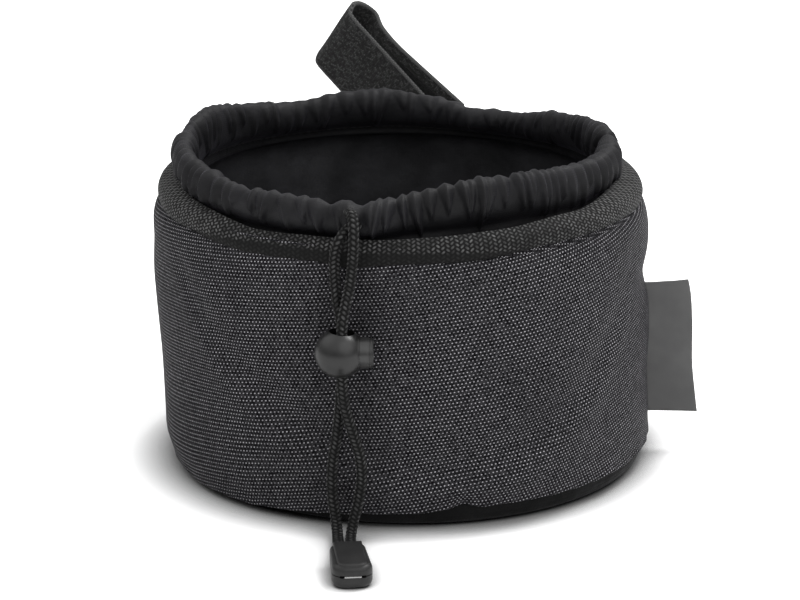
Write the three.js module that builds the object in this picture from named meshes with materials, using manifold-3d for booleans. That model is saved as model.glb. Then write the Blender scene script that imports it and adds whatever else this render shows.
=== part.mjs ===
// Peg bag: a round, slouching fabric bag with a bound rim, a gathered drawstring collar,
// a ball cord lock, a cord end and a folded hanging strap.
// Millimetres, +Z up, origin at the middle of the base, front of the bag towards -Y.
import * as THREE from 'three';
import { mergeVertices } from 'three/addons/utils/BufferGeometryUtils.js';
import Module from 'manifold-3d';

const wasm = await Module();
wasm.setup();

// Gaps and facets
const clearance = 0.3;
const bagSides = 40;
const roundSides = 24;
const cordSides = 8;
const cordSteps = 22;
const loopSteps = 48;

// Wall, base and lining
const wallRadius = 92;
const footTaper = 1.5;
const footCorner = 6;
const footFlange = 3.5;
const wallThickness = 1.2;
const boardThickness = 2;
const liningThickness = 0.8;
const shoulderHeight = 10;
const slouch = 4.5;
const slouchStart = 8;

// Rim band
const bandBottom = 99.7;
const bandHeight = 9.3;
const bandInset = 1;
const tapeThickness = 1.4;
const bandRounding = 2.5;

// Collar with its hem tunnel
const collarThickness = 0.9;
const collarRise = 8.6;
const hemDepth = 12.2;
const hemWidth = 7;
const hemInset = 4.6;
const skirtOverlap = 8.5;
const skirtBend = 2.25;
const gatherCount = 24;
const gatherDepth = 0.4;
const mouthRise = 1.5;
const mouthDip = 7;
const dipAngle = THREE.MathUtils.degToRad(68);
const dipSpread = THREE.MathUtils.degToRad(18);
const exitAngle = THREE.MathUtils.degToRad(-103);
const exitWidth = 20;

// Drawstring
const cordDiameter = 4;
const loopStartDrop = 0.7;
const loopEndRise = 1.7;
const loopStartX = -3;
const loopEndX = -33;

// Cord lock
const ballRadius = 8.25;
const lockX = -21;
const lockHeight = 69.5;
const cordHoleOffset = 0.7;
const lockCollarRadius = 6.4;
const lockCollarReach = 7.6;
const lockEndWall = 1.15;
const buttonRadius = 5.35;
const buttonReach = 12.3;
const buttonTravel = 2.4;
const buttonRidge = 0.35;
const plungerEndWall = 1.1;
const springWire = 0.5;
const springTurns = 2.5;
const springRadius = 2;

// Cord end
const clipLength = 24.5;
const clipNeckWidth = 12.4;
const clipFrontWidth = 14.6;
const clipThickness = 9;
const clipEdge = 2.4;
const clipChamber = 13;
const clipSlotWidth = 9;
const clipSlotHeight = 0.9;
const clipSlotDepth = 3;
const clipAt = new THREE.Vector3(2.6, -23.67, 0);
const clipTurn = THREE.MathUtils.degToRad(5.7);

// Hanging strap
const strapWidth = 27;
const strapThickness = 1.5;
const rootLength = 18;
const legLength = 88.4;
const tailLength = 54;
const foldDiameter = 12.5;
const patchThickness = 1;
const patchStart = 24;
const patchLength = 20;
const patchMargin = 2;
const strapAngle = THREE.MathUtils.degToRad(26);
const foldAt = new THREE.Vector3(-72.5, 0, 128.7);
const foldTilt = THREE.MathUtils.degToRad(51.9);
const legTilt = THREE.MathUtils.degToRad(47.9);
const tailTilt = THREE.MathUtils.degToRad(53.9);

// Side label
const labelWidth = 17;
const labelHeight = 50.6;
const labelBottom = 14.6;
const labelThickness = 1;

// Values that follow from the sizes above
const footRadius = wallRadius - footTaper;
const bandRadius = wallRadius - bandInset;
const bandTop = bandBottom + bandHeight;
const channelOuter = bandRadius - tapeThickness - clearance;
const shoulderStart = bandBottom - clearance - shoulderHeight;
const channelTop = bandTop - tapeThickness - clearance;
const liningInset = wallThickness + clearance;
const bandInner = channelOuter - liningInset - liningThickness - clearance - tapeThickness;
const boardBottom = wallThickness + clearance;
const liningBottom = boardBottom + boardThickness + clearance;
const liningWallBottom = liningBottom + liningThickness + clearance;
const collarTop = bandTop + collarRise;
const skirtOuter = bandInner - 2 * clearance;
const skirtBottom = bandTop - skirtOverlap;
const hemMiddle = collarTop - hemDepth / 2;
const hemRadius = bandInner - hemInset;
const lockY = -Math.sqrt((wallRadius + ballRadius + clearance) ** 2 - lockX ** 2);
const cordSpacing = cordDiameter + clearance;
const cordRoom = cordSpacing / 2 + cordDiameter / 2 + clearance;

function toSolid(geometry) {
  const plain = new THREE.BufferGeometry();
  plain.setAttribute('position', geometry.getAttribute('position').clone());
  plain.setIndex(geometry.getIndex());
  const merged = mergeVertices(plain, 1e-4);
  const triVerts = Uint32Array.from(merged.getIndex().array);
  const vertProperties = merged.getAttribute('position').array;
  return new wasm.Manifold(new wasm.Mesh({ numProp: 3, vertProperties, triVerts }));
}

function toGeometry(solid) {
  const { vertProperties, triVerts } = solid.getMesh();
  const geometry = new THREE.BufferGeometry();
  geometry.setAttribute('position', new THREE.BufferAttribute(vertProperties, 3));
  geometry.setIndex(new THREE.BufferAttribute(triVerts, 1));
  geometry.computeVertexNormals();
  return geometry;
}

function cut(geometry, ...tools) {
  return toGeometry(tools.reduce((left, tool) => left.subtract(toSolid(tool)), toSolid(geometry)));
}

function join(...pieces) {
  return toGeometry(pieces.map(toSolid).reduce((whole, piece) => whole.add(piece)));
}

function overlap(geometry, tool) {
  return toGeometry(toSolid(geometry).intersect(toSolid(tool)));
}

// Points [radius, height] along an ellipse's arc, angles in degrees
function arc(r, z, radiusR, radiusZ, from, to, steps) {
  return Array.from({ length: steps + 1 }, (_, i) => {
    const angle = THREE.MathUtils.degToRad(from + ((to - from) * i) / steps);
    return [r + radiusR * Math.cos(angle), z + radiusZ * Math.sin(angle)];
  });
}

// Revolves a closed outline of [radius, height] pairs about Z, then moves each point by warp
function revolve(outline, sides, warp) {
  const points = [...outline, outline[0]].map(([r, z]) => new THREE.Vector2(r, z));
  const geometry = new THREE.LatheGeometry(points, sides).rotateX(Math.PI / 2);
  const position = geometry.getAttribute('position');
  const point = new THREE.Vector3();
  for (let i = 0; i < position.count; i += 1) {
    warp(point.fromBufferAttribute(position, i));
    position.setXYZ(i, point.x, point.y, point.z);
  }
  return geometry;
}

function disc(radius, bottom, thickness) {
  const geometry = new THREE.CylinderGeometry(radius, radius, thickness, bagSides);
  return geometry.rotateX(Math.PI / 2).translate(0, 0, bottom + thickness / 2);
}

function rod(radius, from, to) {
  const geometry = new THREE.CylinderGeometry(radius, radius, to - from, roundSides);
  return geometry.translate(0, (from + to) / 2, 0).rotateZ(-Math.PI / 2);
}

// Turns an outline of [radius, x] pairs that starts and ends on the X axis
function turnAlongX(outline) {
  const points = outline.map(([r, x]) => new THREE.Vector2(r, x));
  return new THREE.LatheGeometry(points, roundSides).rotateZ(-Math.PI / 2);
}

function block(x0, x1, y0, y1, z0, z1) {
  const geometry = new THREE.BoxGeometry(x1 - x0, y1 - y0, z1 - z0);
  return geometry.translate((x0 + x1) / 2, (y0 + y1) / 2, (z0 + z1) / 2);
}

// Round section of a cord or wire, with its corners on the true diameter
function roundSection(diameter, sides) {
  const section = new THREE.Shape();
  for (let i = 0; i < sides; i += 1) {
    const angle = (2 * Math.PI * i) / sides;
    section.lineTo((diameter / 2) * Math.cos(angle), (diameter / 2) * Math.sin(angle));
  }
  return section;
}

function tube(curve, diameter, steps, sides = cordSides) {
  return new THREE.ExtrudeGeometry(roundSection(diameter, sides), { extrudePath: curve, steps });
}

function cord(points, steps) {
  const path = points.map(([x, y, z]) => new THREE.Vector3(x, y, z));
  return tube(new THREE.CatmullRomCurve3(path, false, 'centripetal'), cordDiameter, steps);
}

// How far the bag's middle has slouched to the left at a height
function slouchAt(z) {
  const share = THREE.MathUtils.clamp((z - slouchStart) / (bandBottom - slouchStart), 0, 1);
  return -slouch * Math.sin((share * Math.PI) / 2);
}

function slump(point) {
  point.x += slouchAt(point.z);
}

// Outside radius of the wall between its foot corner and its top edge in the band
function wallAt(z) {
  if (z <= shoulderStart) {
    return footRadius + footTaper * THREE.MathUtils.smoothstep(z, footCorner, shoulderStart);
  }
  const share = Math.min((z - shoulderStart) / shoulderHeight, 1);
  return channelOuter + (wallRadius - channelOuter) * Math.sqrt(1 - share ** 2);
}

// Heights at which the wall and its lining have a ring of points
function wallHeights(bottom) {
  const rise = Array.from({ length: 5 }, (_, i) => bottom + ((shoulderStart - bottom) * i) / 4);
  const shoulder = [0.6, 0.9, 1].map((share) => shoulderStart + shoulderHeight * share);
  return [...rise, ...shoulder, channelTop];
}

function wallGeometry() {
  const turn = footRadius - footCorner;
  const heights = wallHeights(footCorner);
  const corner = footCorner - wallThickness;
  const outline = [
    [turn - footFlange, 0],
    ...arc(turn, footCorner, footCorner, footCorner, -90, -22.5, 3),
    ...heights.map((z) => [wallAt(z), z]),
    ...heights.toReversed().map((z) => [wallAt(z) - wallThickness, z]),
    ...arc(turn, footCorner, corner, corner, -22.5, -90, 3),
    [turn - footFlange, wallThickness],
  ];
  return revolve(outline, bagSides, slump);
}

function liningGeometry() {
  const heights = [liningWallBottom, ...wallHeights(footCorner)];
  const face = (z) => wallAt(z) - liningInset - (z < footCorner ? clearance : 0);
  const outline = [
    ...heights.map((z) => [face(z), z]),
    ...heights.toReversed().map((z) => [face(z) - liningThickness, z]),
  ];
  return revolve(outline, bagSides, slump);
}

// Tape folded over the top edges of the wall and the lining
function bandGeometry() {
  const outerRound = bandRadius - bandRounding;
  const innerRound = bandInner + bandRounding;
  const top = bandTop - bandRounding;
  const roof = bandTop - tapeThickness;
  const outline = [
    [bandRadius - tapeThickness, bandBottom],
    [bandRadius, bandBottom],
    ...arc(outerRound, top, bandRounding, bandRounding, 0, 90, 3),
    ...arc(innerRound, top, bandRounding, bandRounding, 90, 180, 3),
    [bandInner, bandBottom],
    [bandInner + tapeThickness, bandBottom],
    [bandInner + tapeThickness, roof],
    [bandRadius - tapeThickness, roof],
  ];
  return revolve(outline, bagSides, () => {});
}

// The collar's edge rises gently away from the cord exit and dips at one place at the back
function collarLift(angle) {
  const away = (1 - Math.cos(angle - exitAngle)) / 2;
  const aside = Math.atan2(Math.sin(angle - dipAngle), Math.cos(angle - dipAngle)) / dipSpread;
  return mouthRise * away - mouthDip * Math.exp(-(aside ** 2));
}

function liftedHeight(z, angle) {
  const stretch = 1 + collarLift(angle) / (collarTop - skirtBottom);
  return skirtBottom + (z - skirtBottom) * stretch;
}

function liftCollar(point) {
  point.z = liftedHeight(point.z, Math.atan2(point.y, point.x));
}

function gatherCollar(point) {
  const angle = Math.atan2(point.y, point.x);
  const share = THREE.MathUtils.smoothstep(point.z, skirtBottom, hemMiddle);
  const radius = Math.hypot(point.x, point.y) + gatherDepth * share * Math.cos(gatherCount * angle);
  point.x = radius * Math.cos(angle);
  point.y = radius * Math.sin(angle);
  liftCollar(point);
}

function collarGeometry() {
  const bend = skirtBottom + skirtBend;
  const outline = [
    [skirtOuter - collarThickness, skirtBottom],
    [skirtOuter, skirtBottom],
    [skirtOuter, bend],
    ...arc(hemRadius, hemMiddle, hemWidth / 2, hemDepth / 2, -80, 260, 11),
    [skirtOuter - collarThickness, bend - clearance],
  ];
  const room = arc(
    hemRadius, hemMiddle, hemWidth / 2 - collarThickness, hemDepth / 2 - collarThickness, 0, 324, 9,
  );
  const exit = block(
    -exitWidth / 2, exitWidth / 2, -hemRadius - hemWidth, cordDiameter / 2 - hemRadius,
    hemMiddle - cordDiameter, collarTop + collarRise,
  ).rotateZ(exitAngle + Math.PI / 2);
  const skin = revolve(outline, 4 * gatherCount, gatherCollar);
  return cut(skin, revolve(room, bagSides, liftCollar), exit);
}

// The drawstring inside the hem, from the right of its exit all the way round to the left
function loopGeometry() {
  const angleAt = (x) => -Math.PI / 2 + Math.asin(x / hemRadius);
  const from = angleAt(loopStartX);
  const turn = 2 * Math.PI - (from - angleAt(loopEndX));
  const points = Array.from({ length: loopSteps + 1 }, (_, i) => {
    const angle = from + (turn * i) / loopSteps;
    const height = hemMiddle - loopStartDrop + ((loopStartDrop + loopEndRise) * i) / loopSteps;
    const [x, y] = [hemRadius * Math.cos(angle), hemRadius * Math.sin(angle)];
    return [x, y, liftedHeight(height, angle)];
  });
  return cord(points, loopSteps);
}

// Routes of the free cords, from the middle of the lock's ball on the floor
const cordRoutes = {
  cord_upper_right: [
    [-11.75, 24.6, 113.2], [-7.2, 22.75, 113.3], [-2.9, 20.95, 113.8], [0.8, 18.3, 114.9],
    [3.1, 14.4, 116.1], [4.3, 10.3, 116.2], [4.8, 6.7, 113.8], [4.9, 4.5, 109.4],
    [4.7, 4.3, 104], [4.2, 4.2, 98.5], [3.5, 3.2, 93], [2, 0.4, 86.5],
    [1, -1.7, 81], [0.7, -2.15, 76.5], [0.7, -2.15, 69.65],
  ],
  cord_upper_left: [
    [17.75, 17.7, 110.8], [12.8, 17.9, 111], [8.7, 16.8, 111.4], [5.4, 13.6, 111.8],
    [2.6, 9.9, 111.2], [0.1, 7.4, 108.6], [-1.4, 6.9, 104.5], [-1.9, 6.8, 99.5],
    [-1.6, 5.9, 93.5], [-0.8, 4, 87], [0.3, 2.45, 81], [0.7, 2.15, 76.5], [0.7, 2.15, 69.65],
  ],
  cord_lower_right: [
    [0.7, -2.15, 69.35], [0.7, -2.15, 60.5], [1.7, -1.6, 50], [4.4, -0.4, 40],
    [6.8, 0.7, 31], [7.4, 1.4, 22.5], [6.2, 1.1, 13.5], [4.4, -0.9, 6.5],
    [3.6, -5.5, 2.7], [3.75, -10.2, 2.1], [4, -14.7, 2.8], [4.35, -19.2, 4],
    [4.74, -23.46, 4.5], [5.63, -32.4, 4.5],
  ],
  cord_lower_left: [
    [0.7, 2.15, 69.35], [0.7, 2.15, 60.5], [0, 2.4, 50], [-1.3, 2.8, 38],
    [-2.9, 3.3, 26], [-2.9, 3.4, 15], [-1.7, 1.8, 7], [-1.05, -3.2, 2.9],
    [-0.8, -9.2, 2.1], [-0.4, -14.2, 2.7], [0.05, -19.2, 4],
    [0.46, -23.88, 4.5], [1.35, -32.85, 4.5],
  ],
};

// The lock's ball, with a bore for the plunger along X and a hole for both cords along Z
const boreRadius = buttonRadius + clearance;
const boreEndRadius = ballRadius - lockEndWall;
const boreEnd = -boreEndRadius;
const slotStart = cordHoleOffset - cordDiameter / 2 - clearance;
const slotEnd = cordHoleOffset + cordDiameter / 2 + clearance + buttonTravel;
const plungerEnd = slotStart - plungerEndWall;

function lockBodyGeometry() {
  const ball = new THREE.SphereGeometry(ballRadius, roundSides, 16).rotateX(Math.PI / 2);
  const collar = rod(lockCollarRadius, 0, lockCollarReach);
  const roundEnd = -THREE.MathUtils.radToDeg(Math.acos(boreRadius / boreEndRadius));
  const bore = turnAlongX([
    ...arc(0, 0, boreEndRadius, boreEndRadius, -90, roundEnd, 4),
    [boreRadius, 2 * ballRadius], [0, 2 * ballRadius],
  ]);
  const hole = new THREE.CylinderGeometry(cordRoom, cordRoom, 4 * ballRadius, roundSides);
  hole.rotateX(Math.PI / 2).translate(cordHoleOffset, 0, 0);
  return cut(join(ball, collar), bore, hole);
}

function lockButtonGeometry() {
  const ridgeStart = buttonReach - 4 * buttonRidge;
  const groove = buttonReach - 2 * buttonRidge;
  const pressed = plungerEnd - buttonTravel;
  const room = Math.sqrt(boreEndRadius ** 2 - pressed ** 2) - clearance;
  const tipRadius = Math.min(buttonRadius - buttonRidge, room);
  const plunger = turnAlongX([
    [0, plungerEnd], [tipRadius, plungerEnd], [buttonRadius, plungerEnd + plungerEndWall],
    [buttonRadius, ridgeStart], [buttonRadius - buttonRidge, groove], [buttonRadius, groove],
    [buttonRadius - buttonRidge, buttonReach], [0, buttonReach],
  ]);
  const deep = 2 * buttonRadius;
  return cut(plunger, block(slotStart, slotEnd, -cordRoom, cordRoom, -deep, deep));
}

class Helix extends THREE.Curve {
  constructor(radius, from, to, turns) {
    super();
    Object.assign(this, { radius, from, to, turns });
  }

  getPoint(share, target = new THREE.Vector3()) {
    const angle = 2 * Math.PI * this.turns * share;
    const along = this.from + (this.to - this.from) * share;
    return target.set(along, this.radius * Math.cos(angle), this.radius * Math.sin(angle));
  }
}

function lockSpringGeometry() {
  const end = springWire / 2 + clearance;
  const helix = new Helix(springRadius, boreEnd + end, plungerEnd - end, springTurns);
  return tube(helix, springWire, 8 * springTurns, 5);
}

// Both halves of the cord end, neck at the origin, length along -Y
function clipGeometry() {
  const neck = clipNeckWidth / 2 - clipEdge;
  const front = clipFrontWidth / 2 - clipEdge;
  const round = clipEdge;
  const length = clipLength - clipEdge;
  const outline = new THREE.Shape();
  outline.moveTo(-neck + round, -clipEdge);
  outline.quadraticCurveTo(-neck, -clipEdge, -neck, -clipEdge - round);
  outline.lineTo(-front, -length + round);
  outline.quadraticCurveTo(-front, -length, -front + round, -length);
  outline.lineTo(front - round, -length);
  outline.quadraticCurveTo(front, -length, front, -length + round);
  outline.lineTo(neck, -clipEdge - round);
  outline.quadraticCurveTo(neck, -clipEdge, neck - round, -clipEdge);
  outline.closePath();
  const shell = new THREE.ExtrudeGeometry(outline, {
    depth: clipThickness - 2 * clipEdge,
    bevelThickness: clipEdge,
    bevelSize: clipEdge,
    bevelSegments: 3,
    curveSegments: 4,
  }).translate(0, 0, clipEdge);
  const middle = clipThickness / 2;
  const high = cordDiameter / 2 + clearance;
  const channel = block(-cordRoom, cordRoom, -clipChamber, clipLength, middle - high, middle + high);
  const wide = clipSlotWidth / 2;
  const tall = clipSlotHeight / 2;
  const deep = clipSlotDepth - clipLength;
  const slot = block(-wide, wide, -2 * clipLength, deep, middle - tall, middle + tall);
  return cut(shell, channel, slot);
}

function clipHalf(from, to) {
  return overlap(clipGeometry(), block(-clipLength, clipLength, -2 * clipLength, clipLength, from, to));
}

// Strap pieces are outlines of [out from the wall, along the strap] swept across its width
function slanted(tilt) {
  return new THREE.Vector3(-Math.sin(tilt), 0, Math.cos(tilt));
}

function strapPiece(outline, tilt, margin = 0) {
  const shape = new THREE.Shape(outline.map(([out, along]) => new THREE.Vector2(out, along)));
  const width = strapWidth - 2 * margin;
  const geometry = new THREE.ExtrudeGeometry(shape, { depth: width, bevelEnabled: false });
  const across = new THREE.Vector3(Math.cos(foldTilt), 0, Math.sin(foldTilt));
  const frame = new THREE.Matrix4().makeBasis(new THREE.Vector3(0, 1, 0), slanted(tilt), across);
  return geometry.translate(0, 0, -width / 2).applyMatrix4(frame).translate(...foldAt);
}

function strapStrip(out, bottom, thickness, top, tilt, margin) {
  const far = out + thickness;
  return strapPiece([[out, bottom], [far, bottom], [far, top], [out, top]], tilt, margin);
}

const halfGap = clearance / 2;
const hookOut = strapThickness + patchThickness + 2 * clearance;
const tailOut = hookOut + patchThickness + clearance;
const foldRadius = foldDiameter / 2;

function foldGeometry() {
  const inner = foldRadius - strapThickness;
  const outline = [
    ...arc(foldRadius, halfGap, foldRadius, foldRadius, 0, 180, 10),
    ...arc(foldRadius, halfGap, inner, inner, 180, 0, 8),
  ];
  return strapPiece(outline, legTilt);
}

function tailGeometry() {
  const start = foldDiameter - strapThickness;
  const flat = clearance - patchStart;
  const outline = [
    [tailOut, -tailLength], [tailOut + strapThickness, -tailLength],
    [tailOut + strapThickness, flat], [foldDiameter, -halfGap], [start, -halfGap], [tailOut, flat],
  ];
  return strapPiece(outline, tailTilt);
}

// The tab's inner edge follows the slouching wall
function labelGeometry() {
  const edge = [0, 0.5, 1].map((share) => {
    const z = labelBottom + labelHeight * share;
    return new THREE.Vector2(slouchAt(z) + wallAt(z) + clearance, z);
  });
  const outer = edge.toReversed().map(({ x, y }) => new THREE.Vector2(x + labelWidth, y));
  const shape = new THREE.Shape([...edge.toReversed(), ...outer.toReversed()]);
  const geometry = new THREE.ExtrudeGeometry(shape, { depth: labelThickness, bevelEnabled: false });
  return geometry.rotateX(Math.PI / 2).translate(0, labelThickness / 2, 0);
}

// Finishes
const wovenBlack = { color: 0x1c1c1e, roughness: 0.75 };
const tapeBlack = { color: 0x202022, roughness: 0.85 };
const satinBlack = { color: 0x17171b, roughness: 0.55 };
const liningBlack = { color: 0x151518, roughness: 0.6 };
const cordBlack = { color: 0x1d1d1f, roughness: 0.8 };
const plasticBlack = { color: 0x1b1b1c, roughness: 0.4 };
const boardGrey = { color: 0x55524c, roughness: 0.9 };
const labelGrey = { color: 0x525254, roughness: 0.6 };
const springSteel = { color: 0xb4b7ba, roughness: 0.3, metalness: 1 };

function piece(parent, name, geometry, finish) {
  const mesh = new THREE.Mesh(geometry, new THREE.MeshStandardMaterial(finish));
  mesh.name = name;
  parent.add(mesh);
}

const bag = new THREE.Group();
const seamRadius = footRadius - footCorner - footFlange;
const boardRadius = footRadius - footCorner - clearance;
const liningRadius = footRadius - liningInset - liningThickness;
piece(bag, 'outer_wall', wallGeometry(), wovenBlack);
piece(bag, 'outer_base', disc(seamRadius - clearance, 0, wallThickness), wovenBlack);
piece(bag, 'base_board', disc(boardRadius, boardBottom, boardThickness), boardGrey);
piece(bag, 'lining_base', disc(liningRadius, liningBottom, liningThickness), liningBlack);
piece(bag, 'lining_wall', liningGeometry(), liningBlack);
piece(bag, 'side_label', labelGeometry(), labelGrey);

const mouth = new THREE.Group();
mouth.position.x = -slouch;
bag.add(mouth);
piece(mouth, 'rim_band', bandGeometry(), tapeBlack);
piece(mouth, 'collar', collarGeometry(), satinBlack);
piece(mouth, 'drawstring_loop', loopGeometry(), cordBlack);

const front = new THREE.Group();
front.position.set(lockX, lockY, 0);
mouth.add(front);
for (const [name, route] of Object.entries(cordRoutes)) {
  piece(front, name, cord(route, cordSteps), cordBlack);
}

const lock = new THREE.Group();
lock.position.z = lockHeight;
front.add(lock);
piece(lock, 'cord_lock_body', lockBodyGeometry(), plasticBlack);
piece(lock, 'cord_lock_button', lockButtonGeometry(), plasticBlack);
piece(lock, 'cord_lock_spring', lockSpringGeometry(), springSteel);

const clip = new THREE.Group();
clip.position.copy(clipAt);
clip.rotation.z = clipTurn;
front.add(clip);
piece(clip, 'cord_end_base', clipHalf(0, clipThickness / 2 - halfGap), plasticBlack);
piece(clip, 'cord_end_cover', clipHalf(clipThickness / 2 + halfGap, clipThickness), plasticBlack);

const strap = new THREE.Group();
const strapRadius = wallRadius + clearance;
strap.position.set(strapRadius * Math.sin(strapAngle), strapRadius * Math.cos(strapAngle), 0);
strap.rotation.z = -strapAngle;
mouth.add(strap);
const legBottom = -legLength;
const rootTop = legBottom - clearance;
const rootBottom = rootTop - rootLength;
const patchBottom = -patchStart - patchLength;
piece(strap, 'strap_root', strapStrip(0, rootBottom, strapThickness, rootTop, legTilt), tapeBlack);
piece(strap, 'strap_leg', strapStrip(0, legBottom, strapThickness, -halfGap, legTilt), tapeBlack);
piece(strap, 'strap_fold', foldGeometry(), tapeBlack);
piece(strap, 'strap_tail', tailGeometry(), tapeBlack);
const loopOut = strapThickness + clearance;
const loopPatch = strapStrip(loopOut, patchBottom, patchThickness, -patchStart, legTilt, patchMargin);
const hookPatch = strapStrip(hookOut, patchBottom, patchThickness, -patchStart, tailTilt, patchMargin);
piece(strap, 'strap_loop_patch', loopPatch, tapeBlack);
piece(strap, 'strap_hook_patch', hookPatch, tapeBlack);

export default bag;
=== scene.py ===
import math
import bpy
import bmesh
import numpy as np
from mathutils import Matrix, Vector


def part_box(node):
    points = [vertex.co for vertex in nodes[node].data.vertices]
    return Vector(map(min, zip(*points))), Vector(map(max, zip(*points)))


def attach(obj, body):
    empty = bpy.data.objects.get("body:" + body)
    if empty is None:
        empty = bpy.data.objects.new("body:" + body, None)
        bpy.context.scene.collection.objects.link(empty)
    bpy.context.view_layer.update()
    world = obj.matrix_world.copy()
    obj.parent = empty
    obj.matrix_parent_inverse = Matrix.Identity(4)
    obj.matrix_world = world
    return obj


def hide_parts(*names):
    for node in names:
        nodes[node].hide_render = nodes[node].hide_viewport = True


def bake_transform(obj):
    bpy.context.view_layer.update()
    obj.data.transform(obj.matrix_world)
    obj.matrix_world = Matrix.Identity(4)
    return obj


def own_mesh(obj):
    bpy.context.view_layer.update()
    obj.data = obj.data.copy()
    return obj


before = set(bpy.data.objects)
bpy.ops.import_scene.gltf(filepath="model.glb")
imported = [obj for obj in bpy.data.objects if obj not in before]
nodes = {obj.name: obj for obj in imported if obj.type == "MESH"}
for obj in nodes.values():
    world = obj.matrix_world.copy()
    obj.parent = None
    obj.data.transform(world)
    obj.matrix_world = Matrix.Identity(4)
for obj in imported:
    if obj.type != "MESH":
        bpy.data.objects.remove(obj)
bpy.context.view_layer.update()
mm = 0.001  # sizes in this script are millimetres
print("frame loaded:", len(nodes), "nodes")


class Field:  # a node's output that can be used in sums
    def __init__(self, finish, socket):
        self.finish = finish
        self.socket = socket

    def math(self, operation, *others):
        return self.finish.node("ShaderNodeMath", {"operation": operation}, [self, *others])

    def __add__(self, other):
        return self.math("ADD", other)

    __radd__ = __add__

    def __sub__(self, other):
        return self.math("SUBTRACT", other)

    def __rsub__(self, other):
        return self.finish.node("ShaderNodeMath", {"operation": "SUBTRACT"}, [other, self])

    def __mul__(self, other):
        return self.math("MULTIPLY", other)

    __rmul__ = __mul__

    def __pow__(self, other):
        return self.math("POWER", other)

    def fract(self):
        return self.math("FRACT")

    def floor(self):
        return self.math("FLOOR")

    def step(self, low, high, start=0.0, end=1.0):  # smooth step from start to end
        return self.finish.node(
            "ShaderNodeMapRange", {"interpolation_type": "SMOOTHSTEP"}, [self, low, high, start, end])


class Finish:  # a material, world or floor with its node tree
    def __init__(self, owner, shader, **constants):
        owner.use_nodes = True
        self.owner = owner
        self.tree = owner.node_tree
        self.tree.nodes.clear()
        kind = "World" if isinstance(owner, bpy.types.World) else "Material"
        self.output = self.tree.nodes.new("ShaderNodeOutput" + kind)
        self.shader = self.tree.nodes.new(shader)
        self.tree.links.new(self.shader.outputs[0], self.output.inputs["Surface"])
        for name, value in constants.items():
            self.shader.inputs[name.replace("_", " ")].default_value = value

    def node(self, kind, settings, sockets, output=0):
        made = self.tree.nodes.new(kind)
        for name, value in settings.items():
            setattr(made, name, value)
        pairs = sockets.items() if isinstance(sockets, dict) else enumerate(sockets)
        for name, value in pairs:
            if isinstance(value, Field):
                self.tree.links.new(value.socket, made.inputs[name])
            else:
                made.inputs[name].default_value = value
        return Field(self, made.outputs[output])

    def feed(self, **fields):
        for name, field in fields.items():
            self.tree.links.new(field.socket, self.shader.inputs[name.replace("_", " ")])

    def split(self, vector):
        made = self.tree.nodes.new("ShaderNodeSeparateXYZ")
        self.tree.links.new(vector.socket, made.inputs[0])
        return [Field(self, socket) for socket in made.outputs]

    def uv(self):
        return self.split(self.node("ShaderNodeUVMap", {"uv_map": "cloth"}, []))[:2]

    def place(self):
        return self.node("ShaderNodeTexCoord", {}, [], 3)

    def noise(self, scale, detail=2.0, rough=0.5):
        return self.node("ShaderNodeTexNoise", {}, {
            "Vector": self.place(), "Scale": scale, "Detail": detail, "Roughness": rough})

    def mix(self, share, first, second):
        return self.node("ShaderNodeMix", {"data_type": "RGBA"}, {0: share, 6: first, 7: second}, 2)

    def bump(self, height, depth, strength=1.0):
        return self.node("ShaderNodeBump", {}, {"Strength": strength, "Distance": depth, "Height": height})


def newFinish(name, **constants):
    return Finish(bpy.data.materials.new(name), "ShaderNodeBsdfPrincipled", **constants)


def grey(level, warm=0.0):
    return (level * (1 + warm), level, level * (1 - warm), 1)


# Camera, light and floor
shot = {"target": (-4.5, 0, 58.2), "distance": 1400, "rise": 17.333, "lens": 168, "sensor": 36}
studio = {
    "horizon": 0.2, "zenith": 0.85, "floor": 0.8, "floorSeen": 1.8, "floorMirrored": 1.0, "floorSize": 12,
    # reach and power of the painted contact shadow on the floor
    "paintedShadowReach": 17, "paintedShadowPower": 1.6, "aim": (0, 0, 60),
    "lamps": (("key", 6.5, (650, 350, 1130), 520), ("side", 0.8, (-930, 60, 1000), 1200),
              ("front", 3.9, (640, -900, 850), 1600)),
}


def setCamera():
    rise = math.radians(shot["rise"])
    x, y, z = shot["target"]
    back = shot["distance"]
    place = np.array([x, y - back * math.cos(rise), z + back * math.sin(rise)]) * mm
    bpy.ops.object.camera_add(location=place, rotation=(math.pi / 2 - rise, 0, 0))
    camera = bpy.context.object
    camera.data.lens = shot["lens"]
    camera.data.sensor_width = shot["sensor"]
    bpy.context.scene.camera = camera
    bpy.context.scene.view_settings.view_transform = "Standard"


def addLamp(name, watts, place, size):
    spot = np.array(place, float) * mm
    aim = np.array(studio["aim"]) * mm - spot
    tilt = math.acos(-aim[2] / np.linalg.norm(aim))
    turn = math.atan2(-aim[1], -aim[0])
    bpy.ops.object.light_add(type="AREA", location=spot, rotation=(0, tilt, turn))
    lamp = bpy.context.object
    lamp.name = name
    lamp.data.shape = "DISK"
    lamp.data.size = size * mm
    lamp.data.energy = watts


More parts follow.
